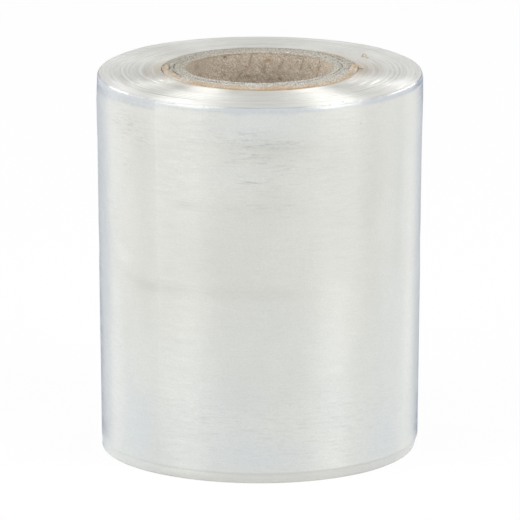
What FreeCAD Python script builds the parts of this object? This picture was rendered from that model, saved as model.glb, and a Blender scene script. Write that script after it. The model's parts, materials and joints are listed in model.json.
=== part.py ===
import FreeCAD, Part
import math
import os

# A hand roll of clear stretch film on a spiral-wound cardboard core, standing on end.
# Millimetres. +Z runs up the core's axis, the origin is the centre of the foot,
# and the front is -Y. Angles are seen from above and run anticlockwise from +X.
# The roll is three pieces: the grey chipboard tube, the brown paper ply glued round it,
# and the film, whose turns lie so tight that they are one solid.

# Driving dimensions: the core
core_length = 101.6
bore_radius = 19.5
chipboard_wall = 5.6
ply_thickness = 0.5
shoulder_width = 2.2
shoulder_drop = 0.3
seam_width = 0.5
seam_depth = 0.25
seam_rise_angle = 62.0
seam_top_angle = 97.0

# Driving dimensions: the two places where the brown ply is torn at the upper end
tear_start_angle = 128.0
tear_sweep = 42.0
crack_angle = 188.0
crack_width = 0.7

# Driving dimensions: the film
film_width = 100.0
film_foot_radius = 41.65
film_neck_radius = 42.5
flare_growth = 0.25
flare_height = 12.0
edge_round_width = 0.6
edge_round_height = 1.1
foot_band_height = 2.4
foot_band_step = 0.15
gauge_band_centre = 54.0
gauge_band_reach = 6.0
gauge_band_depth = 0.08
tail_angle = 231.0
tail_step = 0.1

# Driving dimensions: the turns that show at the ends of the film
upper_ring_count = 18
lower_ring_count = 12
ring_unevenness = 0.3
crown_rise = 0.8
ring_scatter = 0.12
lower_ring_recess = 0.12

# Driving dimensions: the foot's rim, pushed in most on the right
crush_most = 1.0
crush_least = 0.1
crush_height = 4.5

# Sizes that follow
chipboard_radius = bore_radius + chipboard_wall
core_radius = chipboard_radius + ply_thickness
flat_rim_radius = core_radius - shoulder_width
shoulder_slope = shoulder_drop / shoulder_width
ply_end_height = core_length - ply_thickness - shoulder_slope * (chipboard_radius - flat_rim_radius)
flare_radius = film_neck_radius + flare_growth

# How far a cutting block or an uncut outline runs past the face that it makes
overrun = 5.0

# Steps of phase, in radians, that make the rings' widths and heights look random
width_phase = 1.7
height_phase = 2.4

# How many straight facets stand for the rounded rim
rim_facets = 3

UP = FreeCAD.Vector(0, 0, 1)
CENTRE = FreeCAD.Vector(0, 0, 0)


def revolved(points, degrees=360.0, start=0.0):
    """The solid that a closed outline of (radius, height) points sweeps about the core's axis."""
    corners = [FreeCAD.Vector(radius, 0, height) for radius, height in points]
    face = Part.Face(Part.makePolygon(corners + corners[:1]))
    solid = face.revolve(CENTRE, UP, degrees)
    solid.rotate(CENTRE, UP, start)
    return solid


def sector(inner, outer, low, high, start, degrees):
    """A block of ring between two radii and two heights, over part of a turn."""
    return revolved([(inner, low), (outer, low), (outer, high), (inner, high)], degrees, start)


def seam_groove():
    """The open joint of the innermost ply, a shallow left-handed groove up the bore."""
    pitch = 2 * math.pi * bore_radius * math.tan(math.radians(seam_rise_angle))
    spine = Part.makeHelix(pitch, core_length + 2 * overrun, bore_radius)
    half = seam_width / 2
    inner = bore_radius - seam_depth
    outer = bore_radius + seam_depth
    corners = [
        FreeCAD.Vector(inner, 0, -half),
        FreeCAD.Vector(outer, 0, -half),
        FreeCAD.Vector(outer, 0, half),
        FreeCAD.Vector(inner, 0, half),
    ]
    section = Part.makePolygon(corners + corners[:1])
    groove = Part.Wire(spine.Edges).makePipeShell([section], True, True)
    groove = groove.mirror(CENTRE, FreeCAD.Vector(0, 1, 0))
    groove.translate(FreeCAD.Vector(0, 0, -overrun))
    wound_by_top = 360.0 * (core_length + overrun) / pitch
    groove.rotate(CENTRE, UP, seam_top_angle + wound_by_top)
    return groove


def chipboard_core():
    """The grey tube: a flat cut rim, and outside it the shoulder on which the brown ply lies."""
    tube = revolved([
        (bore_radius, 0),
        (chipboard_radius, 0),
        (chipboard_radius, ply_end_height),
        (flat_rim_radius, core_length - ply_thickness),
        (flat_rim_radius, core_length),
        (bore_radius, core_length),
    ])
    return tube.cut(seam_groove())


def kraft_ply():
    """The brown outer ply, turned in over the shoulder and torn in two places."""
    ply = revolved([
        (chipboard_radius, 0),
        (core_radius, 0),
        (core_radius, core_length - shoulder_drop),
        (flat_rim_radius, core_length),
        (flat_rim_radius, core_length - ply_thickness),
        (chipboard_radius, ply_end_height),
    ])
    crack_sweep = math.degrees(crack_width / core_radius)
    spans = [(tear_start_angle, tear_sweep), (crack_angle - crack_sweep / 2, crack_sweep)]
    for start, sweep in spans:
        ply = ply.cut(sector(
            flat_rim_radius - overrun, core_radius + overrun,
            ply_end_height, core_length + overrun,
            start, sweep,
        ))
    return ply


def cone_radius(height):
    """The film's slightly tapering radius, which is the larger the thicker the film is wound."""
    share = height / (film_width - flare_height)
    return film_foot_radius + (film_neck_radius - film_foot_radius) * share


def half_of_outside(growth, start):
    """Half a turn of the film's outside, from past the foot to past the upper end."""
    waist_low = gauge_band_centre - gauge_band_reach
    waist_high = gauge_band_centre + gauge_band_reach
    rim = flare_radius - edge_round_width
    edge_start = film_width - edge_round_height
    outline = [
        (film_foot_radius - foot_band_step, -overrun),
        (film_foot_radius - foot_band_step, foot_band_height),
        (film_foot_radius, foot_band_height),
        (cone_radius(waist_low), waist_low),
        (cone_radius(gauge_band_centre) - gauge_band_depth, gauge_band_centre),
        (cone_radius(waist_high), waist_high),
        (film_neck_radius, film_width - flare_height),
        (flare_radius, film_width - flare_height / 2),
        (flare_radius, edge_start),
    ]
    quarter = [math.pi / 2 * step / rim_facets for step in range(1, rim_facets + 1)]
    outline += [
        (rim + edge_round_width * math.cos(angle), edge_start + edge_round_height * math.sin(angle))
        for angle in quarter
    ]
    outline.append((rim, film_width + overrun))
    grown = [(radius + growth, height) for radius, height in outline]
    return revolved([(0, -overrun)] + grown + [(0, film_width + overrun)], 180.0, start)


def wound_outside():
    """The outermost turn: two half turns a little off centre from each other, as in a spiral.

    They run smoothly into one another opposite the tail and leave a step where the film ends.
    """
    inner_half = half_of_outside(0.0, tail_angle)
    outer_half = half_of_outside(tail_step / 2, tail_angle + 180.0)
    tail = math.radians(tail_angle)
    outer_half.translate(FreeCAD.Vector(math.cos(tail), math.sin(tail), 0) * (tail_step / 2))
    return inner_half.fuse(outer_half)


def ring_edges(count):
    """The radii at which the slope of an end changes, unevenly spread from the core outwards."""
    reach = flare_radius - edge_round_width - core_radius
    shares = [(i + ring_unevenness * math.sin(width_phase * i)) / count for i in range(count)]
    return [core_radius + reach * share for share in shares + [1.0]]


def upper_end():
    """The outline of the upper end: rings of turns that ran a little high or low."""
    edges = ring_edges(upper_ring_count)
    points = []
    for i, radius in enumerate(edges[:-1]):
        crown = crown_rise * (1 - i / upper_ring_count)
        points.append((radius, film_width + crown + ring_scatter * math.sin(height_phase * i)))
    return points + [(edges[-1], film_width), (flare_radius + overrun, film_width)]


def lower_end():
    """The outline of the lower end: flat rings to stand on, with shallow rings between them."""
    edges = ring_edges(lower_ring_count)
    heights = [0.0, lower_ring_recess, lower_ring_recess, 0.0]
    points = [(edges[i], heights[i % 4]) for i in range(lower_ring_count)]
    return points + [(flare_radius + overrun, 0.0)]


def ringed_ends():
    """The stack of turns between its two ends."""
    return revolved(lower_end() + upper_end()[::-1])


def foot_crush():
    """What the pushed-in rim of the foot leaves out: a bevel that deepens towards +X."""
    shift = (crush_most - crush_least) / 2
    foot_radius = film_foot_radius - (crush_most + crush_least) / 2
    slope = crush_most / crush_height
    top = crush_height + overrun
    block = Part.makeCylinder(flare_radius + overrun, top + overrun, FreeCAD.Vector(0, 0, -overrun))
    keep = Part.makeCone(
        foot_radius - slope * overrun, foot_radius + slope * top,
        top + overrun, FreeCAD.Vector(-shift, 0, -overrun),
    )
    return block.cut(keep)


def film_roll():
    """All the turns of film as one solid, tight round the core."""
    wound = wound_outside().common(ringed_ends()).removeSplitter()
    return wound.cut(foot_crush())


def write(name, shape):
    """Writes one piece after making sure that it is one sound solid."""
    if len(shape.Solids) != 1 or not shape.isValid():
        raise ValueError(f"{name} is not one valid solid")
    shape.Solids[0].exportStep(os.path.join("parts", name + ".step"))
    print(name, round(shape.Volume), "mm3", len(shape.Faces), "faces")


os.makedirs("parts", exist_ok=True)
write("cardboard_core", chipboard_core())
write("kraft_ply", kraft_ply())
write("film_roll", film_roll())
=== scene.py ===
import json
import math

import bpy
import numpy as np
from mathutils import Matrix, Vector


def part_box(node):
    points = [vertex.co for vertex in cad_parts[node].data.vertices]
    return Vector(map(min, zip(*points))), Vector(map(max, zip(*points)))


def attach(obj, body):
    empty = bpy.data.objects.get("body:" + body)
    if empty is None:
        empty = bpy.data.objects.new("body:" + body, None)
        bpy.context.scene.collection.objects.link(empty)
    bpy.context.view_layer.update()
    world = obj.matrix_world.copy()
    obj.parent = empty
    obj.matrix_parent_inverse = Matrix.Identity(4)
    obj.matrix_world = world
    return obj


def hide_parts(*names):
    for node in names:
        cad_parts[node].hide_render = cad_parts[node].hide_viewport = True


# The looks of a hand roll of clear stretch film on a cardboard core, standing on end.
# Everything is in metres. Sizes that are given in millimetres are multiplied by MM.
# Angles round the axis are in degrees, anticlockwise from +X seen from above: the front is 270.

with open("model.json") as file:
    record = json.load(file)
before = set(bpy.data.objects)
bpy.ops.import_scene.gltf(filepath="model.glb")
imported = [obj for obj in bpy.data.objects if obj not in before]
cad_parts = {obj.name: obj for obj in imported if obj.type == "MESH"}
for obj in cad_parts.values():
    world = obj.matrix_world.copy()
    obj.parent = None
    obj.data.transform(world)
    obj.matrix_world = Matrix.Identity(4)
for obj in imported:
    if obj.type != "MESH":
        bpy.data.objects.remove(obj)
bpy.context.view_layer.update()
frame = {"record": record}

MM = 0.001
PHOTO_PIXELS = 520

# Sizes read from the frame
core_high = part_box("cardboard_core")[1]
ply_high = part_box("kraft_ply")[1]
film_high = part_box("film_roll")[1]
mounts = {mount["name"]: mount for mount in frame["record"]["mounts"]}
bore_radius = mounts["core_bore"]["dims"]["r_mm"] * MM
core_length = core_high.z
board_radius = core_high.x
ply_radius = ply_high.x
flare_radius = film_high.x

# The shapes that follow the solids
shoulder_width = 2.2 * MM
shoulder_drop = 0.255 * MM
film_width = 100.0 * MM
foot_radius = flare_radius - 1.10 * MM
neck_radius = flare_radius - 0.25 * MM
flare_height = 12.0 * MM
rim_width = 0.6 * MM
rim_height = 1.1 * MM
foot_band_height = 2.4 * MM
foot_band_step = 0.08 * MM
waist_height = 54.0 * MM
waist_reach = 6.0 * MM
waist_depth = 0.08 * MM
crown_rise = 0.8 * MM
crush_most = 0.75 * MM
crush_least = 0.1 * MM
crush_height = 3.0 * MM
tail_angle = 231.0
tail_step = 0.1 * MM

# How finely the meshes are divided, round the axis and along the film's outline
ROUND_STEPS = 348
LOWER_END_STEPS = 34
SIDE_STEPS = 108
FLARE_STEPS = 16
RIM_STEPS = 9
UPPER_END_STEPS = 92


# Mesh helpers

def cell_noise(angles, heights, cells_round, cells_high, seed):
    """Smooth noise from -1 to 1 over degrees and a height from 0 to 1. It joins up round the axis."""
    grid = np.random.default_rng(seed).uniform(-1, 1, (cells_round, cells_high + 2))
    along = np.mod(angles / 360.0, 1.0) * cells_round
    up = np.clip(heights, 0, 1) * cells_high
    i, j = np.floor(along).astype(int), np.floor(up).astype(int)
    fu, fv = along - i, up - j
    fu, fv = fu * fu * (3 - 2 * fu), fv * fv * (3 - 2 * fv)
    i0, i1 = i % cells_round, (i + 1) % cells_round
    low = grid[i0, j] * (1 - fu) + grid[i1, j] * fu
    high = grid[i0, j + 1] * (1 - fu) + grid[i1, j + 1] * fu
    return low * (1 - fv) + high * fv


def round_noise(angles, cells, seed):
    """Smooth noise from -1 to 1 that changes only round the axis."""
    return cell_noise(angles, 0.5, cells, 1, seed)


def smooth(low, high, value):
    """A smooth step from 0 at low to 1 at high."""
    share = np.clip((value - low) / (high - low), 0, 1)
    return share * share * (3 - 2 * share)


def angle_from(angles, centre):
    """How far each angle lies from a centre, from -180 to 180 degrees."""
    return np.mod(angles - centre + 180.0, 360.0) - 180.0


def hump(angles, centre, half_width):
    """A smooth hump of height 1 round an angle."""
    return smooth(half_width, 0, np.abs(angle_from(angles, centre)))


def by_angle(angles, points):
    """A value that runs in straight lines between the values at some angles, round the axis."""
    return np.interp(angles, sorted(points), [points[a] for a in sorted(points)], period=360.0)


def patches(angles, heights, table):
    """The sum of soft patches: angle, height or radius in mm, half sizes in degrees and mm, amount."""
    total = 0.0
    for angle, height, half_angle, half_height, amount in table:
        away = (angle_from(angles, angle) / half_angle) ** 2 + ((heights / MM - height) / half_height) ** 2
        total = total + amount * np.exp(-away)
    return total


def share_of(angles, heights, table):
    """The sum of soft patches, kept between 0 and 1."""
    return np.clip(patches(angles, heights, table), 0, 1)


def spread(start, end, count):
    """Evenly spaced values from start up to but without end."""
    return np.linspace(start, end, count, endpoint=False)


class Section:
    """The closed outline of a ring, gathered in steps with a radius, a height and further values."""

    def __init__(self, angles, *names):
        self.column = angles[:, None]
        self.rows = {name: [] for name in ("radii", "heights", "slot", *names)}

    def add(self, radii, heights, **values):
        given = {"radii": radii, "heights": heights, **values}
        shapes = [np.shape(value) for value in given.values()]
        shape = np.broadcast_shapes(self.column.shape, *shapes)
        for name, rows in self.rows.items():
            rows.append(np.broadcast_to(given.get(name, 0.0), shape))

    def all(self, name):
        return np.concatenate(self.rows[name], axis=1)


def smooth_mesh(name, points, faces, attributes):
    """A smooth mesh that carries values on its points."""
    mesh = bpy.data.meshes.new(name)
    mesh.from_pydata(points, [], faces)
    mesh.polygons.foreach_set("use_smooth", np.ones(len(faces), bool))
    for key, values in attributes.items():
        layer = mesh.attributes.new(key, "FLOAT", "POINT")
        layer.data.foreach_set("value", values)
    mesh.update()
    return mesh


def lathe_mesh(name, section, attributes):
    """A closed ring of quads round the axis. Nothing in it stands higher than the core."""
    radii = section.all("radii")
    heights = np.minimum(section.all("heights"), core_length)
    turns, steps = radii.shape
    rad = np.radians(section.column)
    points = np.stack([radii * np.cos(rad), radii * np.sin(rad), heights], axis=2).reshape(-1, 3)
    i, j = np.meshgrid(np.arange(turns), np.arange(steps), indexing="ij")
    i_next, j_next = (i + 1) % turns, (j + 1) % steps
    quads = np.stack([
        i * steps + j, i_next * steps + j, i_next * steps + j_next, i * steps + j_next,
    ], axis=2).reshape(-1, 4)
    values = {key: np.broadcast_to(value, radii.shape).reshape(-1) for key, value in attributes.items()}
    mesh = smooth_mesh(name, points.tolist(), quads.tolist(), values)
    mesh.polygons.foreach_set("material_index", section.all("slot").astype(int).reshape(-1))
    return mesh


def add_object(name, data):
    made = bpy.data.objects.new(name, data)
    bpy.context.scene.collection.objects.link(made)
    return made


def add_piece(name, mesh, materials, node=None):
    """Adds a mesh as a piece that rides on the one body."""
    piece = add_object(name, mesh)
    for material in materials:
        mesh.materials.append(material)
    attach(piece, "root")
    if node:
        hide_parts(node)
    return piece


# Shader helpers

class Shader:
    """A node material around one Principled shader."""

    def __init__(self, name):
        self.material = bpy.data.materials.new(name)
        self.material.use_nodes = True
        self.tree = self.material.node_tree
        self.surface = self.tree.nodes["Principled BSDF"]
        self.place = self.node("TexCoord").outputs["Object"]

    def node(self, kind, inputs=None, **settings):
        made = self.tree.nodes.new("ShaderNode" + kind)
        for key, value in settings.items():
            setattr(made, key, value)
        for key, value in (inputs or {}).items():
            self.feed(made.inputs[key], value)
        return made

    def feed(self, socket, value):
        """Links a value to a socket, or sets it there if it is constant."""
        if isinstance(value, bpy.types.NodeSocket):
            self.tree.links.new(value, socket)
        elif isinstance(value, tuple) and len(value) == 3 and socket.type == "RGBA":
            socket.default_value = (*value, 1.0)
        else:
            socket.default_value = value

    def set(self, **values):
        """Feeds inputs of the Principled shader, named with _ for a space."""
        for key, value in values.items():
            self.feed(self.surface.inputs[key.replace("_", " ")], value)

    def scaled(self, x, y, z, slant=0.0):
        """The place on the object in millimetres, stretched along each axis and slanted about Y."""
        place = self.place
        if slant:
            turn = (0.0, math.radians(slant), 0.0)
            place = self.node("Mapping", {"Vector": place, "Rotation": turn}).outputs["Vector"]
        scale = (x / MM, y / MM, z / MM)
        return self.node("Mapping", {"Vector": place, "Scale": scale}).outputs["Vector"]

    def noise(self, vector, detail=3.0, roughness=0.5, scale=1.0):
        inputs = {"Vector": vector, "Scale": scale, "Detail": detail, "Roughness": roughness}
        return self.node("TexNoise", inputs).outputs["Fac"]

    def math(self, operation, a, b=0.0):
        return self.node("Math", {0: a, 1: b}, operation=operation).outputs[0]

    def times(self, a, b):
        return self.math("MULTIPLY", a, b)

    def ramp(self, value, low, high, to_low=0.0, to_high=1.0):
        """A value between low and high, spread smoothly over another range."""
        inputs = dict(enumerate((value, low, high, to_low, to_high)))
        return self.node("MapRange", inputs, interpolation_type="SMOOTHSTEP").outputs[0]

    def mix(self, factor, a, b):
        made = self.node("Mix", data_type="RGBA")
        for key, value in (("Factor", factor), ("A", a), ("B", b)):
            self.feed(made.inputs[key], value)
        return made.outputs["Result"]

    def paint(self, base, layers):
        """Lays colours over a base, each by a factor, or by an amount as a value goes from low to high."""
        for colour, value, *limits in layers:
            if limits:
                low, high, amount = limits
                value = self.ramp(value, low, high, 0.0, amount)
            base = self.mix(value, base, colour)
        return base

    def read(self, name, factor=1.0):
        """A value that the mesh carries, times a factor."""
        value = self.node("Attribute", attribute_name=name).outputs["Fac"]
        return value if factor == 1.0 else self.times(value, factor)

    def split(self):
        """The X, Y and Z of the place on the object."""
        return self.node("SeparateXYZ", {0: self.place}).outputs

    def radius(self):
        """The distance from the axis in millimetres."""
        place = self.split()
        squares = [self.times(place[axis], place[axis]) for axis in "XY"]
        return self.math("DIVIDE", self.math("SQRT", self.math("ADD", *squares)), MM)

    def height(self):
        """The height above the foot in millimetres."""
        return self.math("DIVIDE", self.split()["Z"], MM)

    def along(self, value):
        """A place for a texture that varies only with one value."""
        return self.node("CombineXYZ", {"X": value}).outputs[0]

    def round_the_axis(self, cells, per_mm):
        """A place for a texture of arcs, with so many cells over a radian and a millimetre outwards."""
        place, radius = self.split(), self.radius()
        inputs = {"Z": self.times(radius, per_mm)}
        for axis in "XY":
            share = self.math("DIVIDE", self.math("DIVIDE", place[axis], MM), radius)
            inputs[axis] = self.times(share, cells)
        return self.node("CombineXYZ", inputs).outputs[0]

    def spot(self, angle, radius, height, size):
        """1 within a small distance in millimetres of a point, fading to 0."""
        turn = math.radians(angle)
        point = (radius * math.cos(turn), radius * math.sin(turn), height)
        away = self.node("VectorMath", {0: self.scaled(1, 1, 1), 1: point}, operation="DISTANCE")
        return self.ramp(away.outputs["Value"], size, 0.5 * size)

    def bumps(self, *layers):
        """Bumps over one another. Each has a texture, a height in mm and a strength."""
        normal = None
        for texture, height, strength in layers:
            inputs = {"Height": texture, "Distance": height * MM, "Strength": strength}
            if normal:
                inputs["Normal"] = normal
            normal = self.node("Bump", inputs).outputs["Normal"]
        return normal

    def round_tangent(self):
        """The direction round the axis, in which the film was drawn."""
        return self.node("Tangent", direction_type="RADIAL", axis="Z").outputs[0]


# Materials

# Dark specks caught in the film's side: angle, height and size in mm
SPECKS = [
    (307.5, 94, 0.5), (235, 30, 0.4), (210, 31.5, 0.4), (312, 22.5, 0.4), (268, 87.6, 0.3),
    (297, 52.6, 0.35), (284, 8.4, 0.45), (233, 22, 0.35), (286, 20, 0.35), (319, 39, 0.3), (60, 70, 0.5),
    (120, 34, 0.4),
]
SPECK_RADIUS = 42.3

# Single flecks: angle, and radius, height and size in mm
RIM_SPECK = (301.1, 41.3, 100.0, 0.42)
RED_FLECK = (100.8, 19.5, 97.15, 0.26)
WHITE_FLECK = (68.4, 19.9, 101.4, 0.6)


def cloudy_grey(s, crease):
    """The wound film's colour: cloudy and streaked, with painted highlights and shade, painted bluish
    reflection, painted shade in the creases, and specks.
    """
    cloud = s.noise(s.scaled(0.07, 0.07, 0.05), 5, 0.6)
    streak = s.noise(s.scaled(0.2, 0.2, 1.5), 6, 0.7)
    grain = s.noise(s.scaled(2.2, 2.2, 2.8), 2, 0.8)
    # Random tone with painted highlights and painted shade, carried by the mesh
    tone_and_painted_light = s.read("tone_and_painted_light", s.ramp(streak, 0.35, 0.65, 0.8, 1.15))
    # Painted shade along the creases
    dark = s.read("crease_relief_and_shade", s.ramp(crease, 0.5, 0.38))
    grey = s.paint((0.525, 0.525, 0.49), [
        ((0.515, 0.53, 0.512), s.height(), 60, 15, 1),
        ((0.57, 0.575, 0.545), cloud, 0.35, 0.7, 0.6),
        # Bluish tint, partly painted bluish reflection
        ((0.49, 0.522, 0.545), s.read("bluish")),
        ((0.66, 0.67, 0.65), streak, 0.52, 0.78, 0.14),
        ((0.43, 0.44, 0.43), streak, 0.45, 0.28, 0.18),
        ((0.66, 0.66, 0.64), tone_and_painted_light, 0, 1, 0.8),
        ((0.42, 0.425, 0.39), tone_and_painted_light, 0, -1, 0.8),
        ((0.3, 0.31, 0.33), s.times(dark, 0.6)),
        ((0.35, 0.36, 0.345), grain, 0.32, 0.68, 0.26),
    ])
    for angle, height, size in SPECKS:
        grey = s.mix(s.times(s.spot(angle, SPECK_RADIUS, height, size), 0.8), grey, (0.16, 0.15, 0.13))
    return grey


def with_clear_edges(s, grey, scratch):
    """The grey with the clear upper edge, painted shade on the rim and the side's edges, a painted white
    highlight line on the rim, the band at the foot with a painted shadow line, and the loose end's painted
    highlight.
    """
    blotch = s.noise(s.scaled(0.8, 0.8, 1.3), 4, 0.75)
    mottle = s.ramp(blotch, 0.36, 0.58, 0.4, 1)
    return s.paint(grey, [
        ((0.405, 0.425, 0.445), s.read("clear_edge", mottle)),
        # Painted shade on the dull rim
        ((0.39, 0.41, 0.445), s.read("dull_shaded_rim", 0.7)),
        ((0.21, 0.23, 0.28), s.read("dark_edge", s.ramp(scratch, 0.38, 0.6, 0.1, 1.3))),
        # Painted highlight line on the upper rim
        ((0.93, 0.935, 0.93), s.read("glint", s.ramp(blotch, 0.66, 0.52))),
        ((0.49, 0.483, 0.462), s.read("foot_band", 0.6)),
        # Painted shadow under the step above the foot's band
        ((0.37, 0.36, 0.335), s.read("foot_shadow_line", 0.4)),
        # Painted highlight along the loose end's edge
        ((0.85, 0.85, 0.83), s.read("tail_highlight", 0.06)),
    ])


def film_side_material():
    """The outside of the film: silvery, cloudy, with short fine creases round the roll."""
    s = Shader("film_side")
    crease = s.noise(s.scaled(0.22, 0.22, 1.9), 5, 0.8)
    scratch = s.noise(s.scaled(0.14, 0.08, 1.5), 5, 0.7)
    fine = s.noise(s.scaled(0.5, 0.5, 3.4), 4, 0.75)
    broad = s.noise(s.scaled(0.1, 0.1, 0.35), 3)
    bumps = s.bumps(
        (broad, 0.25, 0.5),
        (fine, 0.06, 0.6),
        (s.times(crease, s.read("crease_relief_and_shade")), 0.12, 1),
        (s.times(scratch, s.read("scratched")), 0.2, 0.6),
    )
    rim = s.read("dull_shaded_rim")
    s.set(Base_Color=with_clear_edges(s, cloudy_grey(s, crease), scratch), Normal=bumps)
    s.set(Roughness=s.math("ADD", 0.34, s.times(rim, 0.36)), Specular_IOR_Level=0.3)
    s.set(Metallic=s.times(s.math("SUBTRACT", 1, rim), 0.17))
    s.set(Anisotropic=0.75, Anisotropic_Rotation=0.25, Tangent=s.round_tangent())
    return s.material


def turn_edges(s, wide, rings, arcs):
    """The colour of the turns' edges, warm near the core, with painted highlights, shade and sparkles."""
    patch = s.noise(s.scaled(0.09, 0.09, 0.09), 3)
    thread = s.noise(s.round_the_axis(8, 7), 3, 0.8)
    dash = s.noise(s.round_the_axis(5, 2.2), 2)
    warm = s.read("warm", s.ramp(patch, 0.3, 0.6, 0.4, 1))
    # Random tone with painted highlights and painted shade, carried by the mesh
    tone_and_painted_light = s.read("tone_and_painted_light", s.ramp(arcs, 0.3, 0.6, 0.6, 1.2))
    sparkle = s.read("sparkle", s.ramp(dash, 0.6, 0.68))
    return s.paint((0.5, 0.5, 0.47), [
        ((0.72, 0.72, 0.69), rings, 0.35, 0.65, 1),
        ((0.72, 0.715, 0.69), arcs, 0.45, 0.7, 0.5),
        ((0.56, 0.545, 0.505), wide, 0.42, 0.6, 0.5),
        ((0.4, 0.4, 0.38), thread, 0.6, 0.4, 0.14),
        ((0.88, 0.88, 0.86), thread, 0.45, 0.65, 0.2),
        ((0.5, 0.44, 0.35), warm),
        ((0.85, 0.85, 0.83), tone_and_painted_light, 0, 1, 0.8),
        ((0.38, 0.37, 0.34), tone_and_painted_light, 0, -1, 0.8),
        ((0.66, 0.665, 0.64), s.read("outer_turns", 0.7)),
        ((0.95, 0.95, 0.94), sparkle),
        ((0.22, 0.2, 0.17), s.spot(*RIM_SPECK)),
    ])


def film_end_material():
    """The ends of the film: the edges of hundreds of turns, which gleam across themselves."""
    s = Shader("film_end")
    radius = s.radius()
    wide = s.noise(s.along(radius), 2, 0.5, 0.45)
    rings = s.noise(s.along(radius), 5, 0.7, 1.6)
    arcs = s.noise(s.round_the_axis(1.6, 1.3), 4, 0.6)
    ridges = s.noise(s.round_the_axis(0.9, 3.2), 4, 0.65)
    bumps = s.bumps((wide, 0.8, 0.7), (arcs, 0.5, 0.7), (rings, 0.12, 0.7), (ridges, 0.28, 0.8))
    s.set(Base_Color=turn_edges(s, wide, rings, arcs), Roughness=0.56, Normal=bumps)
    s.set(Metallic=s.read("gleam", 0.62), Specular_IOR_Level=0.5)
    s.set(Anisotropic=0.96, Anisotropic_Rotation=0.25, Tangent=s.round_tangent())
    return s.material


def bore_colour(s, fibre, fleck):
    """The bore wall: fibres, flecks, painted shade, the seam, scuffs, marks, a painted shadow line under
    the edge, and stains.
    """
    slanted = s.noise(s.scaled(0.5, 1.2, 3.2, -45), 4, 0.7)
    broad = s.noise(s.scaled(0.12, 0.12, 0.16), 3)
    return s.paint((0.362, 0.305, 0.239), [
        ((0.74, 0.65, 0.54), fibre, 0.43, 0.57, 1),
        ((0.3, 0.25, 0.195), slanted, 0.52, 0.42, 0.6),
        ((0.5, 0.42, 0.335), broad, 0.4, 0.7, 0.35),
        ((0.68, 0.62, 0.55), fleck, 0.64, 0.74, 0.8),
        ((0.2, 0.155, 0.11), fleck, 0.37, 0.29, 0.8),
        ((0.3, 0.255, 0.2), s.read("shade")),
        ((0.25, 0.205, 0.16), s.read("seam", 0.75)),
        ((0.7, 0.66, 0.6), s.read("scuff")),
        # Dark marks, with the painted shadow line under the bore's edge
        ((0.17, 0.12, 0.07), s.read("mark_and_shadow")),
        ((0.34, 0.25, 0.12), s.read("stain")),
        ((0.45, 0.12, 0.11), s.spot(*RED_FLECK)),
    ])


def cut_colour(s, fleck):
    """The cut rim: fuzzy grey fibres, broken lines between the plies, and painted shade."""
    fuzz = s.noise(s.scaled(2.8, 1.1, 2.8), 4, 0.8)
    plies = s.noise(s.along(s.radius()), 2, 0.5, 2.4)
    broken = s.noise(s.round_the_axis(3, 2.2), 4, 0.7)
    return s.paint((0.32, 0.3, 0.26), [
        ((0.73, 0.71, 0.655), fuzz, 0.42, 0.58, 1),
        ((0.38, 0.365, 0.33), plies, 0.5, 0.7, 0.35),
        ((0.24, 0.235, 0.225), broken, 0.46, 0.36, 0.55),
        ((0.72, 0.705, 0.66), broken, 0.56, 0.68, 0.5),
        ((0.17, 0.155, 0.135), fleck, 0.38, 0.3, 0.85),
        ((0.25, 0.215, 0.14), s.read("shade")),
        ((0.1, 0.095, 0.085), s.read("line", s.ramp(fuzz, 0.7, 0.5))),
        ((0.85, 0.82, 0.75), s.spot(*WHITE_FLECK)),
    ])


def board_material():
    """Grey-brown recycled board, as it looks in the bore and where it is cut."""
    s = Shader("board")
    fibre = s.noise(s.scaled(3.3, 3.3, 3.3), 4, 0.8)
    fleck = s.noise(s.scaled(2.1, 2.1, 2.6), 3, 0.6)
    colour = s.mix(s.read("cut_rim"), bore_colour(s, fibre, fleck), cut_colour(s, fleck))
    s.set(Base_Color=colour, Normal=s.bumps((fibre, 0.14, 0.8)))
    s.set(Roughness=0.95, Specular_IOR_Level=0.2)
    return s.material


def kraft_material():
    """Brown kraft paper, paler where it is scuffed over the shoulder, with painted shade on its outer
    wall.
    """
    s = Shader("kraft")
    fibre = s.noise(s.scaled(2, 1.1, 2), 4, 0.8)
    broad = s.noise(s.scaled(0.16, 0.16, 0.16), 3)
    tan = s.paint((0.54, 0.44, 0.33), [
        ((0.6, 0.545, 0.465), broad, 0.42, 0.62, 1),
        ((0.66, 0.635, 0.575), s.read("bare", 0.8)),
        ((0.62, 0.44, 0.25), s.read("orange")),
        ((0.26, 0.195, 0.13), fibre, 0.58, 0.4, 0.6),
        ((0.72, 0.66, 0.57), fibre, 0.55, 0.68, 0.5),
        ((0.36, 0.24, 0.13), s.read("shaded_outer_wall")),
        ((0.58, 0.57, 0.53), s.read("worn_edge")),
    ])
    s.set(Base_Color=tan, Normal=s.bumps((fibre, 0.1, 0.8)))
    s.set(Roughness=0.9, Specular_IOR_Level=0.25)
    return s.material


# The film's shape

# How many degrees the step at the film's loose end takes
TAIL_REACH = 2.6

# Heights in millimetres of the steps at the foot, close together at the upper edge of its band
FOOT_HEIGHTS = [0.0, 0.25, 0.6, 1.1, 1.7, 2.25, 2.45, 2.7, 3.1, 3.6, 4.2, 5.0]

# In millimetres by angle: how far the upper edge draws in, how far the rim stands up,
# and how far the innermost turns climb up the ply
DRAWN_IN = {90: 0, 130: 0.05, 165: 0.22, 190: 0.24, 230: 0.08, 260: 0, 310: 0, 350: 0.1, 20: 0.06}
RIM_LIFT = {165: 0, 152: 0.06, 135: 0.22, 110: 0.14, 90: 0.06, 70: 0.1, 45: 0.2, 28: 0.06, 15: 0, 270: 0}
SNUG = {145: 0, 168: 0.26, 200: 0.22, 225: 0.05, 270: 0, 320: 0.05, 342: 0.24, 8: 0.26, 28: 0.05, 60: 0}

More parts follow.
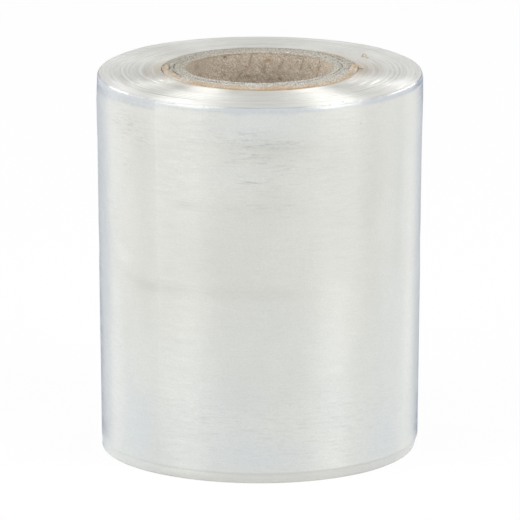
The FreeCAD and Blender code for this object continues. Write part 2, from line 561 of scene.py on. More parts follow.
# Height in millimetres of the clear band under the upper rim, by angle
EDGE_BAND = {
    180: 1.6, 205: 2.2, 222: 1.9, 230.5: 1.5, 232: 0.5, 255: 0.3, 262: 0.6, 282: 0.6, 290: 0.1, 300: 0,
    312: 0.4, 320: 0.4, 330: 0.2, 340: 0, 350: 0.1, 359: 0.5, 90: 0.5,
}


def round_angles():
    """Angles round the roll, with extra ones close on both sides of the film's loose end."""
    near_tail = [tail_angle + d for d in (-0.6, -0.3, -0.12, -0.03, 0.03, 0.12, 0.3, 0.6)]
    return np.array(sorted(list(spread(0, 360, ROUND_STEPS)) + near_tail))


def cone(height):
    """The radius of the film's slightly tapering outside at a height."""
    share = np.minimum(height / (film_width - flare_height), 1.0)
    return foot_radius + (neck_radius - foot_radius) * share


def outside_offset(angles, heights):
    """What the wound, wrinkled outside adds to the cone, over angle and height."""
    share = heights / film_width
    from_tail = np.mod(angles - tail_angle, 360.0)
    wound = np.where(from_tail > 180.0, tail_step / 2 * (1 + np.cos(np.radians(from_tail))), 0.0)
    wound = np.where(from_tail < TAIL_REACH, tail_step * smooth(TAIL_REACH, 0.0, from_tail), wound)
    flared = smooth(film_width - 1.7 * flare_height, film_width - flare_height / 6, heights)
    flare = (flare_radius - neck_radius) * flared
    waist = -waist_depth * smooth(waist_reach, 0, np.abs(heights - waist_height))
    slow = 0.03 * MM * cell_noise(angles, share, 12, 5, 11) - 0.035 * MM
    drawn_in = MM * by_angle(angles, DRAWN_IN) * smooth(film_width - 8 * MM, film_width - 1 * MM, heights)
    return wound + flare + waist + slow - drawn_in


def add_lower_end(section):
    """The lower end, from the core outwards: shallow rings, flat where it stands."""
    shares = spread(0, 1, LOWER_END_STEPS)
    reach = foot_radius - foot_band_step - crush_most - 0.5 * MM - ply_radius
    dents = 0.10 * MM * smooth(0.0, 0.6, cell_noise(section.column, shares, 3, 17, 21))
    section.add(ply_radius + reach * shares, dents, slot=1)


def clear_share(column, heights):
    """How far the clear band under the rim has taken over from the cloudy side."""
    band = MM * by_angle(column, EDGE_BAND) * (1 + 0.35 * round_noise(column, 40, 24))
    wave = 0.35 * MM * cell_noise(column, heights / film_width, 60, 80, 25)
    edge = film_width - rim_height - band + wave
    return smooth(-0.16 * MM, 0.16 * MM, heights - edge)


def add_side(section):
    """The outside, from the pushed-in rim of the foot up to the rounded rim."""
    column = section.column
    foot = np.array(FOOT_HEIGHTS) * MM
    middle = spread(6.0 * MM, film_width - flare_height, SIDE_STEPS)
    upper = spread(film_width - flare_height, film_width - rim_height, FLARE_STEPS)
    heights = np.concatenate([foot, middle, upper])
    crush = (crush_most + crush_least) / 2 + (crush_most - crush_least) / 2 * np.cos(np.radians(column))
    crush = crush + 0.12 * MM * cell_noise(column, heights / film_width, 22, 30, 22)
    pushed = np.clip(crush - crush_most * heights / crush_height, 0, None)
    band_top = foot_band_height + 0.25 * MM * round_noise(column, 16, 23)
    band = foot_band_step * smooth(band_top + 0.15 * MM, band_top - 0.05 * MM, heights)
    side = cone(heights) + outside_offset(column, heights) - pushed - band
    section.add(side, heights, clear=clear_share(column, heights))


def add_rounded_rim(section, upper_edge, lifted):
    """The quarter turn from the side to the upper end, with small dents."""
    for step in range(RIM_STEPS):
        turn = math.pi / 2 * step / RIM_STEPS
        dent = 0.10 * MM * cell_noise(section.column, step / RIM_STEPS, 50, 3, 26) * math.sin(turn)
        radii = cone(film_width - flare_height) + upper_edge - rim_width * (1 - math.cos(turn)) + dent
        heights = film_width - rim_height * (1 - math.sin(turn)) + dent * 0.3 + lifted * math.sin(turn)
        section.add(radii, heights, clear=1.0)


def add_upper_end(section, upper_edge, lifted):
    """The upper end, from the rim to the core: rings of turns at slightly uneven heights."""
    column = section.column
    shares = spread(1, 0, UPPER_END_STEPS)
    rings = 0.055 * MM * cell_noise(column * 0, shares, 1, 46, 31)
    rings = rings + 0.035 * MM * cell_noise(column, shares, 5, 80, 32)
    slow = 0.08 * MM * cell_noise(column, shares, 7, 5, 33)
    crown = crown_rise * (1 - shares)
    lie = (rings + slow) * smooth(1.0, 0.93, shares) + lifted * smooth(0.5, 1.0, shares)
    snug = MM * by_angle(column, SNUG) * smooth(0.10, 0.0, shares)
    reach = flare_radius - rim_width - ply_radius
    radii = ply_radius + (reach + upper_edge * shares) * shares
    section.add(radii, film_width + crown + lie + snug, slot=1, outer=smooth(0.72, 1.0, shares))


def film_mesh():
    """All the turns of film as one ring."""
    section = Section(round_angles(), "clear", "outer")
    upper_edge = outside_offset(section.column, film_width - rim_height)
    lifted = MM * by_angle(section.column, RIM_LIFT)
    add_lower_end(section)
    add_side(section)
    add_rounded_rim(section, upper_edge, lifted)
    add_upper_end(section, upper_edge, lifted)
    # The wall against the core, down to the lower end
    section.add(ply_radius, film_width - 1.5 * MM, slot=1)
    section.add(ply_radius, 0.5 * film_width, slot=1)
    return lathe_mesh("film", section, film_attributes(section))


# The film's colouring, as patches and as values by angle

# Lighter and darker patches of the side: random tone, with painted highlights down the lamps' columns and
# painted shade between them and along the waist
TONE_AND_LIGHT_PATCHES = [
    (215, 56.5, 6, 3.5, 0.4), (216, 51.6, 4, 1.2, -0.35), (226, 50.2, 7, 1.6, -0.4),
    (238, 51.2, 7, 1.5, -0.3), (264, 50.8, 36, 2, -0.22), (209.5, 53, 4, 1.2, -0.35),
    (327, 56, 9, 4, -0.1), (274, 89.3, 13, 3, -0.45), (250, 60, 10, 9, -0.15), (266, 25, 22, 9, -0.1),
    (208, 30, 8, 40, 0.3), (335, 40, 10, 50, 0.25), (268, 74, 14, 3, -0.15), (300, 75, 6, 25, -0.2),
    (243, 73.5, 4, 1.2, -0.3), (240, 20, 7, 28, 0.25), (296, 22, 6, 30, 0.3), (313, 82, 7, 28, -0.35),
    (225, 76, 7, 32, -0.25), (200, 16, 10, 24, 0.35), (250, 16, 14, 12, 0.15), (338, 30, 7, 45, 0.3),
    (329, 70, 5, 34, -0.5), (195, 45, 5, 42, 0.25), (351, 49, 5, 8, 0.4), (250, 18, 6, 10, 0.15),
    (236, 70, 8, 30, -0.2), (296, 78, 6, 20, -0.3), (273, 60, 14, 30, -0.12), (270, 50, 48, 200, -0.26),
    (240, 50, 7, 200, -0.14), (305, 55, 9, 200, -0.22), (232, 5, 7, 30, -0.3),
]

# Bluish patches of the side: the film's own tint, and painted bluish reflection at the edges and low down
BLUE_PATCHES = [
    (272, 41, 15, 9, 0.25), (221, 11, 10, 9, 0.7), (270, 7, 17, 4, 0.7), (321, 8, 10, 8, 0.6),
    (270, 95, 20, 5, 0.5), (222, 32, 8, 14, 0.1), (262, 12, 10, 3, 0.3), (264, 82, 14, 3, 0.2),
    (325, 40, 9, 22, 0.3), (262, 22, 13, 6, 0.3), (190, 50, 15, 90, 0.7), (352, 50, 13, 90, 0.7),
    (328, 78, 6, 24, 0.3),
]

# Bunches of creases in the side, with painted shade along them
CREASES = [
    (271, 89.6, 9, 1.6, 1), (276, 91, 12, 0.8, 0.9), (264, 93, 7, 0.9, 0.8), (269, 87.8, 9, 1, 1),
    (247, 91, 7, 0.6, 0.6), (225, 88.4, 5, 1.2, 1), (260, 91.2, 7, 1, 0.8), (284, 89.8, 6, 1, 0.8),
    (268, 94.2, 9, 0.6, 0.5), (262, 85.5, 12, 0.8, 0.5), (280, 83.5, 10, 0.8, 0.45), (215, 82, 5, 3, 0.4),
    (249, 93.5, 5, 0.7, 0.5), (275, 85, 16, 3.5, 0.3), (267, 80.2, 6, 1.2, 0.9), (242, 74.5, 4, 1, 0.6),
    (264, 73.5, 14, 1.2, 0.3), (220, 92.5, 9, 1.5, 0.8), (217, 89, 9, 2.4, 0.5), (280, 78, 22, 7, 0.25),
    (300, 14, 30, 10, 0.4), (255, 14, 30, 10, 0.35), (212, 94, 9, 5, 0.4), (270, 50, 40, 30, 0.12),
]

# Where the clear edges of the side lie in their own shade
DARK_EDGES = [
    (182, 98.8, 8, 1.8, 0.9), (180, 97, 6, 4, 0.3), (357, 98, 10, 5, 0.72), (184, 2, 8, 6, 0.6),
    (356, 2, 9, 6, 0.6), (180, 50, 8, 70, 0.35), (0, 50, 8, 70, 0.33), (348, 99.4, 12, 1, 0.85),
    (352, 9, 3, 5, 0.3), (194, 5, 5, 3, 0.12), (186, 28, 5, 14, 0.35),
]

# Lighter and darker arcs of the upper end: the turns' own tone, with painted highlights where the lamps
# catch the turns and painted shade between the fans
END_ARCS = [
    (238, 37.6, 14, 0.35, -0.9), (180, 30, 26, 0.5, -0.5), (182, 31.2, 24, 0.3, 0.6),
    (182, 28, 22, 0.3, 0.5), (178, 34.2, 20, 0.3, -0.4), (2, 30.8, 24, 0.3, -0.5),
    (0, 29.8, 22, 0.3, 0.4), (352, 33.5, 20, 0.3, 0.3), (209, 30.5, 5, 0.3, 0.9),
    (206, 28.2, 5, 0.3, 0.8), (214, 32, 4, 0.25, 0.7), (330, 31, 5, 0.3, 0.9), (336, 33, 5, 0.3, 0.7),
    (326, 28.5, 5, 0.3, 0.8), (300, 39, 8, 0.3, -0.4), (232, 30.5, 9, 2, -0.35), (222, 28.5, 9, 2, -0.45),
    (314, 29, 9, 2, -0.35), (30, 36, 40, 4, 0.2), (184, 36, 22, 5, 0.1), (356, 36, 22, 4, 0.1),
    (190, 41, 22, 2.8, 0.65), (350, 41, 22, 2.8, 0.6), (14, 31, 16, 0.28, 0.7), (220, 37, 9, 5, -0.35),
    (200, 30.3, 7, 0.3, 0.9), (199, 40.3, 9, 2.2, 0.7), (341, 40, 8, 2.5, 0.6), (352, 27.5, 14, 2, -0.25),
    (211, 37.9, 9, 1.6, -0.35), (256, 27.8, 8, 2.2, -0.5), (140, 35, 18, 7, -0.16),
    (192, 35.7, 12, 0.35, 0.4), (186, 33.2, 14, 0.3, -0.35), (350, 36.4, 14, 0.3, -0.3),
    (4, 28.9, 14, 0.4, 0.4),
]

# Where the ends are warm from the board behind the clear turns
WARM_ARCS = [
    (184, 27, 30, 1.8, 0.8), (190, 30.2, 22, 0.6, 0.6), (356, 27.2, 26, 1.6, 0.8),
    (2, 30.8, 16, 0.4, 0.5), (270, 26.2, 60, 0.5, 0.4), (40, 26.5, 24, 1.2, 0.5), (90, 26, 60, 0.6, 0.2),
    (14, 31.6, 14, 0.3, 0.5), (34, 28.6, 18, 0.4, 0.4), (4, 29.6, 10, 1.6, 0.4),
]

# Where painted highlights make the edges of single turns sparkle
SPARKLES = [
    (207, 31, 9, 5, 1), (202, 40.5, 7, 1.5, 0.8), (330, 31, 9, 5, 1), (336, 39.5, 9, 2.5, 1),
    (240, 39, 14, 2.5, 0.8), (298, 39, 14, 2.5, 0.7), (345, 33, 6, 2, 0.7),
]

# How strongly the upper end gleams: its far side is dull
GLEAM = {196: 1, 344: 1, 356: 0.8, 16: 0.3, 40: 0.1, 140: 0.1, 164: 0.3, 184: 0.8}

# How plainly the band at the foot, and the painted shadow line above it, show
FOOT_SHOWS = {
    200: 0.02, 224: 0.08, 238: 0.3, 250: 0.6, 262: 1, 300: 1, 316: 0.7, 332: 0.5, 345: 0.2, 90: 0.5,
}

# How dull the upper rim is, and how much darker blue shade is painted on it
DULL_RIM = {
    199: 1, 204: 0.3, 228: 0.4, 234: 0, 254: 0, 260: 0.4, 283: 0.4, 289: 0, 305: 0, 312: 0.6, 340: 0.6,
    350: 0.9, 0: 1, 90: 0.5, 170: 1,
}

# Where a crisp white highlight line is painted on the upper rim
GLINT = {
    201: 0, 205: 1, 215: 1, 219: 0.3, 230: 0.25, 235: 0.5, 254: 0.5, 259: 0, 286: 0, 290: 0.5, 306: 0.5,
    311: 0.1, 320: 0.2, 325: 0.9, 341: 1, 345: 0,
}

# Where the clear film's edges are finely scratched
SCRATCHED = {
    160: 0.1, 178: 0.25, 192: 1, 207: 0.8, 216: 0.15, 235: 0, 310: 0, 335: 0.3, 348: 0.9, 0: 0.3, 20: 0.1,
}

# How plainly the clear band under the upper rim shows
BAND_SHOWS = {180: 1, 230: 0.9, 236: 0.6, 252: 0.6, 258: 0.9, 284: 0.9, 290: 0.7, 306: 0.7, 312: 1}


def film_attributes(section):
    """What the film's materials read from the mesh."""
    column, radii, heights = section.column, section.all("radii"), section.all("heights")
    outside = radii > foot_radius - 3 * MM
    on_end = section.all("slot") == 1
    # A painted shadow line under the step above the foot's band
    line = smooth(0.45 * MM, 0.0, np.abs(heights - foot_band_height - 0.2 * MM)) * outside
    foot = smooth(foot_band_height + 0.3 * MM, foot_band_height - 0.1 * MM, heights) * outside
    rim_start = film_width - rim_height
    rim = smooth(rim_start - 0.5 * MM, rim_start + 0.2 * MM, heights) * outside
    crest = smooth(film_width - 0.37 * MM, film_width - 0.17 * MM, heights) * outside
    return {
        "tone_and_painted_light": np.where(on_end, patches(column, radii, END_ARCS), patches(column, heights, TONE_AND_LIGHT_PATCHES)),
        "warm": share_of(column, radii, WARM_ARCS),
        "bluish": share_of(column, heights, BLUE_PATCHES),
        "crease_relief_and_shade": share_of(column, heights, CREASES),
        "tail_highlight": hump(column, tail_angle + 0.2, 0.6) * smooth(50 * MM, 85 * MM, heights) * outside,
        "foot_shadow_line": line * by_angle(column, FOOT_SHOWS),
        "dull_shaded_rim": rim * by_angle(column, DULL_RIM),
        "glint": crest * by_angle(column, GLINT),
        "scratched": by_angle(column, SCRATCHED) * outside,
        "dark_edge": share_of(column, heights, DARK_EDGES) * outside,
        "clear_edge": section.all("clear") * by_angle(column, BAND_SHOWS),
        "gleam": by_angle(column, GLEAM),
        "sparkle": share_of(column, radii, SPARKLES),
        "outer_turns": section.all("outer"),
        "foot_band": foot * by_angle(column, FOOT_SHOWS),
    }


# The core

SEAM_TOP_ANGLE = 97.0
SEAM_RISE = math.radians(62.0)
SEAM_WIDTH = 0.36 * MM
SEAM_DEPTH = 0.15 * MM

# How the seam wanders off its slope: depth below the upper end in mm, and degrees
SEAM_WANDER = {0: -2, 0.85: -2.2, 4.1: -5, 5.9: -1.4, 10: 0, 102: 0}

# How much lower the far side of the cut rim is
RIM_TILT = 0.40 * MM

# How far the board lies under the ply's flap, in millimetres by angle
UNDER_PLY = {25: 0.05, 60: 0.05, 170: 0.3, 180: 0.3, 270: 0.3, 5: 0.3}

# How much painted shade darkens the bore wall and the cut rim, by angle
WALL_SHADE = {40: 0.05, 90: 0.08, 118: 0.22, 145: 0.6, 180: 0.5, 270: 0.1, 0: 0.1}
RIM_SHADE = {
    270: 0, 300: 0.05, 340: 0.08, 0: 0.12, 25: 0.2, 60: 0.3, 90: 0.35, 150: 0.35, 180: 0.4, 215: 0.15,
    245: 0,
}

# How plainly the painted shadow line under the bore's edge shows, by angle
LIP_SHOWS = {25: 0.2, 50: 0.7, 75: 1, 125: 1, 150: 0.3, 180: 0.2, 270: 0.2, 0: 0.1}

# Patches in the bore: stains, dark marks and pale scuffs
STAINS = [
    (82.9, 98.85, 2.6, 0.5, 0.9), (85.5, 98.6, 1.6, 0.35, 0.5), (38.4, 98.6, 1.5, 0.5, 0.7),
    (133.3, 100.25, 0.9, 0.35, 0.7), (65.1, 97.05, 1.2, 0.45, 0.5), (52, 99, 1, 0.4, 0.3),
    (76, 97, 2, 0.4, 0.3), (40.8, 96.4, 1, 0.6, 0.4),
]
MARKS = [
    (118.1, 100.15, 1.7, 0.36, 1), (74.2, 93.85, 1.7, 0.4, 0.8), (147.8, 99, 3, 0.9, 0.35),
    (99, 94.4, 5, 0.5, 0.5), (143.7, 96.4, 3, 0.5, 0.35), (38.2, 98.3, 0.9, 0.3, 0.6),
    (126, 96.6, 1, 0.4, 0.4), (108, 94, 3, 0.4, 0.4), (83, 93.6, 3, 0.35, 0.4), (120, 95.2, 3, 0.5, 0.35),
]
SCUFFS = [
    (59.9, 96.45, 2, 0.32, 0.8), (70.1, 96.65, 1.5, 0.3, 0.6), (92, 96.4, 1.2, 0.3, 0.6),
    (64, 96.2, 1, 0.25, 0.5), (104, 98, 1.2, 0.3, 0.3),
]

# Thin cracks down the bore: angle and height in mm of both ends, and amount
CRACKS = [
    (37.2, 101, 35.9, 99, 0.6), (35.9, 99, 40.8, 95.6, 0.6), (54, 99.6, 57.5, 96.6, 0.5),
    (71, 99.2, 76.8, 96, 0.45), (85.6, 98.3, 87, 95.2, 0.4), (49, 98.6, 44.5, 97, 0.35),
]

# Dark broken lines between the plies of the cut rim, as patches
RIM_LINES = [
    (177, 22.5, 11, 0.2, 1), (160, 23.9, 9, 0.17, 0.7), (199, 23.1, 9, 0.24, 1), (22, 22.6, 7, 0.17, 0.9),
    (6, 21.5, 12, 0.26, 0.8), (31, 23.1, 9, 0.17, 0.7), (350, 20.9, 6, 0.17, 0.7),
    (20, 24.8, 9, 0.17, 0.7), (3, 24.1, 7, 0.18, 0.9), (234, 22, 13, 0.28, 1), (252, 21.2, 12, 0.24, 0.9),
    (220, 23.9, 9, 0.22, 0.8), (345, 21, 9, 0.15, 0.8), (333, 20.9, 6, 0.15, 0.8),
    (333, 22, 8, 0.14, 0.7), (272, 24, 3, 0.2, 0.8), (165, 21, 9, 0.15, 0.5), (120, 24.6, 20, 0.3, 0.6),
    (90, 24.9, 20, 0.3, 0.7), (70, 24.6, 12, 0.3, 0.6), (290, 22.6, 12, 0.15, 0.5),
    (310, 21.5, 10, 0.15, 0.5), (140, 22.6, 10, 0.2, 0.5), (105, 22.8, 14, 0.2, 0.3),
]


def rim_tilt(column):
    """How far the tilted cut lies below its highest point, as a negative height."""
    return -RIM_TILT * (1 + np.sin(np.radians(column))) / 2


def add_bore_wall(section):
    """The bore wall, upwards, with the open seam of its innermost ply."""
    column = section.column
    fine_part = core_length - 10 * MM
    heights = np.concatenate([spread(0, fine_part, 40), spread(fine_part, core_length - 0.4 * MM, 34)])
    depth = core_length - heights
    wander = np.interp(depth / MM, list(SEAM_WANDER), list(SEAM_WANDER.values()))
    seam_angle = SEAM_TOP_ANGLE + np.degrees(depth / (math.tan(SEAM_RISE) * bore_radius)) + wander
    across = np.abs(np.radians(angle_from(column, seam_angle))) * bore_radius * math.sin(SEAM_RISE)
    seam = smooth(SEAM_WIDTH, SEAM_WIDTH * 0.3, across) * smooth(8.5 * MM, 6.0 * MM, depth)
    rough = 0.05 * MM * cell_noise(column, heights / core_length, 120, 90, 41)
    lowered = heights + rim_tilt(column) * smooth(0.8, 1.0, heights / core_length)
    section.add(bore_radius + 0.04 * MM + rough + SEAM_DEPTH * seam, lowered, seam=seam * 0.8)


def add_cut_rim(section):
    """The fuzzy inner edge, the cut rim and the shoulder under the ply."""
    column, tilt = section.column, rim_tilt(section.column)
    torn = by_angle(column, TORN)
    rim_flat = ply_radius - shoulder_width
    for share, drop in ((0.0, 0.22), (0.03, 0.08), (0.07, 0.02)):
        burr = 0.09 * MM * cell_noise(column, share * 5, 90, 2, 42)
        edge = core_length - 0.09 * MM - 0.5 * drop * MM + tilt + burr
        section.add(bore_radius + share * 4 * MM + burr, edge, cut=0.9)
    shares = spread(0.1, 1.0, 22)
    fuzz = 0.05 * MM * cell_noise(column, shares, 110, 9, 43)
    fuzz = fuzz + 0.03 * MM * cell_noise(column, shares, 30, 5, 44)
    radii = bore_radius + (rim_flat - bore_radius) * shares
    section.add(radii, core_length - 0.08 * MM + tilt + fuzz, cut=1.0)
    outer_edge = board_radius + torn * (ply_radius - 0.005 * MM - board_radius)
    shares = spread(0.0, 1.0, 10)
    rag = 0.05 * MM * cell_noise(column, shares, 90, 4, 45)
    under_ply = MM * by_angle(column, UNDER_PLY) * smooth(0, 0.3, shares) * (1 - torn)
    heights = core_length - 0.12 * MM - under_ply - shoulder_drop * shares + tilt + rag
    section.add(rim_flat + (outer_edge - rim_flat) * shares, heights, cut=1.0)
    section.add(outer_edge, core_length - 1.15 * MM + tilt, cut=1.0)


def core_mesh():
    """The board tube, from the bore over the cut rim to its outer wall and lower end."""
    section = Section(spread(0, 360, ROUND_STEPS), "cut", "seam")
    add_bore_wall(section)
    add_cut_rim(section)
    outer = board_radius - 0.02 * MM
    section.add(outer, spread(core_length - 1.6 * MM, 0.3 * MM, 4))
    section.add(outer, 0.0, cut=1.0)
    shares = spread(1.0, 0.0, 12)
    radii = bore_radius + 0.1 * MM + (board_radius - bore_radius - 0.3 * MM) * shares
    section.add(radii, 0.04 * MM * (1 + cell_noise(section.column, shares, 80, 6, 46)), cut=1.0)
    return lathe_mesh("core", section, core_attributes(section))


def cracks(angles, heights):
    """How dark the cracks in the bore are, from their distance along the wall."""
    total = 0.0
    for start, top, end, bottom, amount in CRACKS:
        down = np.clip((top - heights / MM) / (top - bottom), 0, 1)
        across = np.radians(angle_from(angles, start + (end - start) * down)) * bore_radius / MM
        above = np.maximum(np.maximum(heights / MM - top, bottom - heights / MM), 0)
        total = np.maximum(total, amount * smooth(0.32, 0.08, np.hypot(across, above)))
    return total


def core_attributes(section):
    """What the board's material reads from the mesh."""
    column, heights, on_rim = section.column, section.all("heights"), section.all("cut")
    on_wall = section.all("radii") < bore_radius + 0.4 * MM
    below_edge = core_length + rim_tilt(column) - heights
    # A painted shadow line just under the bore's edge, laid in with the dark marks
    lip_shadow = smooth(1.0 * MM, 0.55 * MM, below_edge) * (0.65 + 0.35 * round_noise(column, 70, 47))
    lip_shadow = 0.8 * lip_shadow * by_angle(column, LIP_SHOWS) * on_wall * (1 - on_rim)
    deep = smooth(93.5 * MM, 99 * MM, heights)
    shade = by_angle(column, WALL_SHADE) * (1 - on_rim) * deep + by_angle(column, RIM_SHADE) * on_rim
    attributes = {"cut_rim": on_rim, "seam": section.all("seam"), "shade": np.clip(shade, 0, 1)}
    for key, table in (("stain", STAINS), ("mark_and_shadow", MARKS), ("scuff", SCUFFS)):
        attributes[key] = share_of(column, heights, table) * on_wall
    thin_marks_and_shadow = np.maximum(lip_shadow, cracks(column, heights) * on_wall)
    attributes["mark_and_shadow"] = np.maximum(attributes["mark_and_shadow"], thin_marks_and_shadow)
    attributes["line"] = share_of(column, section.all("radii"), RIM_LINES) * on_rim
    return attributes


# The kraft ply

# How far the flap reaches in over the shoulder, as a share of its width, by angle
FLAP_REACH = {
    0: 0.95, 4: 0.6, 10: 0.5, 30: 0.26, 60: 0.26, 170: 0.26, 178: 0.7, 184: 0.75, 186: 0.26, 190: 0.26,
    192: 0.85, 230: 0.9, 270: 0.85, 310: 0.9, 350: 0.95,
}

# Where the ply is torn off and the grey board shows out to the film, by angle
TORN = {6: 0, 14: 1, 27: 1, 30: 0, 53: 0, 56: 1, 172: 1, 176: 0, 185: 0, 186: 1, 190: 1, 191: 0}

# How far the flap's inner edge stands up in millimetres, by angle
FLAP_LIFT = {168: 0, 178: 0.3, 186: 0.1, 192: 0.02, 350: 0, 0: 0.12, 6: 0.2, 12: 0}

# Where the flap is rubbed down to pale fibres, and where it is a rich orange brown, by angle
BARE = {
    195: 0.2, 225: 0.4, 240: 0.2, 262: 0.3, 280: 0.2, 300: 0.5, 325: 0.9, 345: 0.9, 0: 0.3, 30: 0.6,
    180: 0.2,
}
ORANGE = {
    204: 0, 232: 0.15, 240: 0.55, 260: 0.4, 266: 0.1, 274: 0.5, 290: 0.35, 300: 0.1, 345: 0.1, 352: 0.2,
    2: 0.6, 8: 0.6, 14: 0, 176: 0.5, 186: 0.5, 192: 0.1,
}

# How much shade is painted on the ply's outer wall where it stands against the film, by angle
OUTER_DARK = {
    60: 0.1, 90: 0.1, 180: 0.3, 190: 0.35, 196: 0.2, 225: 0.25, 250: 0.9, 290: 0.9, 320: 0.5, 345: 0.3,
    355: 0.6, 5: 0.6, 12: 0.2,
}


def ply_mesh():
    """The kraft ply: a thin wall with a flap turned in over the core's shoulder, torn in places."""
    section = Section(spread(0, 360, 2 * ROUND_STEPS), "wall")
    column = section.column
    ragged = 0.16 * round_noise(column, 130, 51) + 0.12 * round_noise(column, 40, 52)
    reach = np.clip(by_angle(column, FLAP_REACH) * (1 + ragged), 0.26, 1.04) * shoulder_width
    torn = by_angle(column, TORN)
    lift = (0.06 * MM * round_noise(column, 34, 53) + MM * by_angle(column, FLAP_LIFT)) * (1 - torn)
    corner = core_length - shoulder_drop - 0.05 * MM + rim_tilt(column) - 0.9 * MM * torn
    slope = shoulder_drop / shoulder_width
    outer = ply_radius - 0.005 * MM

    # Up the outside and round the corner
    section.add(outer, 0.0, wall=1.0)
    section.add(outer, spread(2 * MM, core_length - 2.5 * MM, 4), wall=1.0)
    section.add(outer, corner - 0.35 * MM, wall=0.9)
    section.add(outer - 0.04 * MM, corner - 0.10 * MM, wall=0.6)

    # In over the shoulder to the flap's torn edge, and back under it
    shares = np.linspace(0.06, 1.0, 12)
    crumple = 0.05 * MM * cell_noise(column, shares, 120, 5, 54)
    section.add(outer - reach * shares, corner + slope * reach * shares + (lift + crumple) * shares)
    tip = corner + slope * reach + lift
    section.add(outer - reach - 0.02 * MM, tip - 0.12 * MM)
    shares = np.linspace(1.0, 0.12, 5)
    under = corner + slope * reach * shares + lift * shares - 0.3 * MM
    section.add(outer - reach * shares, under)

    # Down the inside, on the board
    section.add(board_radius, corner - 0.7 * MM)
    section.add(board_radius, spread(core_length - 3 * MM, 0.0, 3))
    section.add(board_radius, 0.0)

    inwards = outer - section.all("radii")
    # Painted shade on the outer wall
    dark = section.all("wall") * by_angle(column, OUTER_DARK)
    bare = np.clip(by_angle(column, BARE) + 0.35 * round_noise(column, 36, 56), 0, 1)
    return lathe_mesh("ply", section, {
        "shaded_outer_wall": dark * (0.75 + 0.25 * round_noise(column, 60, 55)),
        "bare": bare * smooth(0.5 * MM, 2.0 * MM, inwards),
        "orange": np.clip(by_angle(column, ORANGE), 0, 1) * (0.6 + 0.4 * round_noise(column, 90, 57)),
        "worn_edge": 0.35 * smooth(0.55 * MM, 0.3 * MM, inwards) * hump(column, 205, 24),
    })


# Torn strands of the ply: a curl that lies on the film's end, and a tongue that points out over it
SCRAP_LINE = [
    (26.9, 16.4, 100.52), (26.9, 16.2, 100.85), (27.1, 16, 101.1), (27.45, 15.9, 101.22),
    (27.85, 15.7, 101.12), (28.05, 15.5, 100.9), (27.95, 15.1, 100.7), (28.1, 14.5, 100.6),
    (28.5, 13.9, 100.58),
]
SCRAP_RADIUS = 0.19 * MM
SCRAP_ORANGE = 0.2
TONGUE_LINE = [
    (23.5, 2.9, 101.1), (24.4, 2.3, 101.22), (25.3, 1.5, 101.22), (26.1, 0.5, 101.15), (26.8, -0.4, 101),
]
TONGUE_RADIUS = 0.34 * MM
TONGUE_ORANGE = 0.6
STRAND_SIDES = 6
STRAND_WIDENING = 1.6
STRAND_TAPER = 0.45


def strand_mesh(name, path, radius, orange):
    """A thin bent strand of torn ply along a path of points in millimetres."""
    line = [Vector(point) * MM for point in path]
    last = len(line) - 1
    side_on = Vector((0, 1, 0))
    points, faces = [], []
    for i, place in enumerate(line):
        way = (line[min(i + 1, last)] - line[max(i - 1, 0)]).normalized()
        out = way.cross(side_on).normalized()
        thick = radius * (STRAND_TAPER if i in (0, last) else 1.0)
        for side in range(STRAND_SIDES):
            turn = 2 * math.pi * side / STRAND_SIDES
            across = out * math.cos(turn) + side_on * (STRAND_WIDENING * math.sin(turn))
            points.append(place + thick * across)
    for i in range(last):
        here, there = i * STRAND_SIDES, (i + 1) * STRAND_SIDES
        for side in range(STRAND_SIDES):
            after = (side + 1) % STRAND_SIDES
            faces.append((here + side, here + after, there + after, there + side))
    faces.append(tuple(range(STRAND_SIDES))[::-1])
    faces.append(tuple(range(last * STRAND_SIDES, len(points))))
    return smooth_mesh(name, [tuple(point) for point in points], faces, {"orange": [orange] * len(points)})


# Stage, lights and camera

# Half the floor's side in metres, and how much of what is seen of it is plain white
FLOOR_HALF = 6.0
FLOOR_GLOW = 0.94

# The strength of the soft light from all round
AMBIENT = 0.42

# The lamps: azimuth and elevation in degrees, width in metres and power in watts.
# Azimuth 0 is the front, and positive turns to the right.
LAMPS = {
    "left_key": (-60, 22, 0.92, 15.0),
    "right_key": (59, 22, 0.70, 14.5),
    "left_rim": (-123, 22, 0.14, 3.2),
    "right_rim": (139, 22, 0.13, 2.8),
}
LAMP_DISTANCE = 1.3
LAMP_HEIGHT = 0.9
LAMP_AIM = 50 * MM

# The dark cards: where both ends stand, and the heights of their edges, in millimetres
CARDS = {
    "left_card": ((-43.2, 12), (-51, -4)),
    "right_card": ((43.2, 12), (49, 1)),
}
CARD_BOTTOM = 0.5
CARD_TOP = 98

# The camera, from a fit to the photograph's outline and ellipses
FOCAL_PIXELS = 7801.0
SENSOR_WIDTH = 36.0
CAMERA_PITCH = math.radians(14.03)
CAMERA_DISTANCE = 2.049
AIM_X = 0.04 * MM
AIM_Z = 49.36 * MM


def flat_face(name, corners, material):
    mesh = bpy.data.meshes.new(name)
    mesh.from_pydata(corners, [], [(0, 1, 2, 3)])
    mesh.materials.append(material)
    return add_object(name, mesh)


def seen_directly(tree):
    """1 for what the camera sees straight, in a mirror or through something clear, and else 0."""
    paths = tree.nodes.new("ShaderNodeLightPath")
    seen = paths.outputs["Is Camera Ray"]
    for ray in ("Is Glossy Ray", "Is Transmission Ray"):
        larger = tree.nodes.new("ShaderNodeMath")
        larger.operation = "MAXIMUM"
        tree.links.new(seen, larger.inputs[0])
        tree.links.new(paths.outputs[ray], larger.inputs[1])
        seen = larger.outputs[0]
    return seen


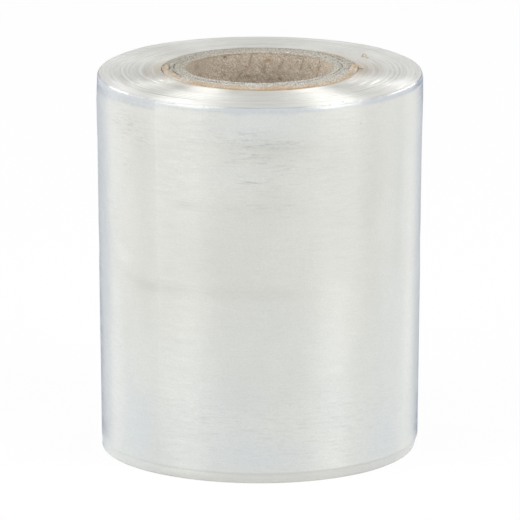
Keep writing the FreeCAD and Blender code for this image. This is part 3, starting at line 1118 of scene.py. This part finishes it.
def stage_floor():
    """A plain pale floor that keeps a soft shadow of the roll."""
    s = Shader("floor")
    s.set(Base_Color=(0.86, 0.86, 0.86), Roughness=0.9, Specular_IOR_Level=0.2)
    tree = s.tree
    glow = s.node("Emission")
    glow.inputs["Strength"].default_value = 1.0
    blend = s.node("MixShader")
    s.feed(blend.inputs[0], s.times(seen_directly(tree), FLOOR_GLOW))
    tree.links.new(s.surface.outputs[0], blend.inputs[1])
    tree.links.new(glow.outputs[0], blend.inputs[2])
    tree.links.new(blend.outputs[0], tree.nodes["Material Output"].inputs["Surface"])
    corners = [(x * FLOOR_HALF, y * FLOOR_HALF, 0) for x, y in ((-1, -1), (1, -1), (1, 1), (-1, 1))]
    floor = flat_face("floor", corners, s.material)


def dark_card(name, start, end):
    """A grey card behind one side of the roll. It shows only in reflections, at the film's edge."""
    s = Shader(name)
    s.set(Base_Color=(0.46, 0.51, 0.64), Roughness=0.9, Specular_IOR_Level=0.0)
    corners = [(*start, CARD_BOTTOM), (*end, CARD_BOTTOM), (*end, CARD_TOP), (*start, CARD_TOP)]
    card = flat_face(name, [tuple(value * MM for value in corner) for corner in corners], s.material)
    for ray in ("camera", "diffuse", "shadow", "transmission"):
        setattr(card, "visible_" + ray, False)


def studio_world():
    """White to the camera and in reflections, and a soft grey light from all round."""
    world = bpy.data.worlds.new("studio")
    bpy.context.scene.world = world
    world.use_nodes = True
    tree = world.node_tree
    back = tree.nodes["Background"]
    back.inputs["Color"].default_value = (1, 1, 1, 1)
    strength = tree.nodes.new("ShaderNodeMath")
    strength.operation = "MULTIPLY_ADD"
    tree.links.new(seen_directly(tree), strength.inputs[0])
    strength.inputs[1].default_value = 1.0 - AMBIENT
    strength.inputs[2].default_value = AMBIENT
    tree.links.new(strength.outputs[0], back.inputs["Strength"])


def softbox(name, azimuth, elevation, width, power):
    """An area lamp that faces the roll."""
    lamp = bpy.data.lights.new(name, "AREA")
    lamp.shape = "RECTANGLE"
    lamp.size, lamp.size_y = width, LAMP_HEIGHT
    lamp.energy = power
    holder = add_object(name, lamp)
    a, e = math.radians(azimuth), math.radians(elevation)
    way = Vector((math.sin(a) * math.cos(e), -math.cos(a) * math.cos(e), math.sin(e)))
    holder.location = Vector((0, 0, LAMP_AIM)) + way * LAMP_DISTANCE
    holder.rotation_euler = (-way).to_track_quat("-Z", "Y").to_euler()


def add_camera():
    """The photograph's view: from the front, a little above, with a long lens."""
    data = bpy.data.cameras.new("camera")
    data.sensor_width = SENSOR_WIDTH
    data.lens = data.sensor_width * FOCAL_PIXELS / PHOTO_PIXELS
    data.clip_end = 100.0
    camera = add_object("camera", data)
    back = Vector((0, -math.cos(CAMERA_PITCH), math.sin(CAMERA_PITCH)))
    camera.location = Vector((AIM_X, 0, AIM_Z)) + CAMERA_DISTANCE * back
    camera.rotation_euler = (math.pi / 2 - CAMERA_PITCH, 0, 0)
    bpy.context.scene.camera = camera


add_camera()
studio_world()
stage_floor()
for lamp_name, (azimuth, elevation, width, power) in LAMPS.items():
    softbox(lamp_name, azimuth, elevation, width, power)
for card_name, (start, end) in CARDS.items():
    dark_card(card_name, start, end)

kraft = kraft_material()
scrap = strand_mesh("scrap", SCRAP_LINE, SCRAP_RADIUS, SCRAP_ORANGE)
tongue = strand_mesh("tongue", TONGUE_LINE, TONGUE_RADIUS, TONGUE_ORANGE)
add_piece("film", film_mesh(), [film_side_material(), film_end_material()], "film_roll")
add_piece("core", core_mesh(), [board_material()], "cardboard_core")
add_piece("ply", ply_mesh(), [kraft], "kraft_ply")
add_piece("scrap", scrap, [kraft])
add_piece("tongue", tongue, [kraft])

scene = bpy.context.scene
scene.view_settings.view_transform = "Standard"
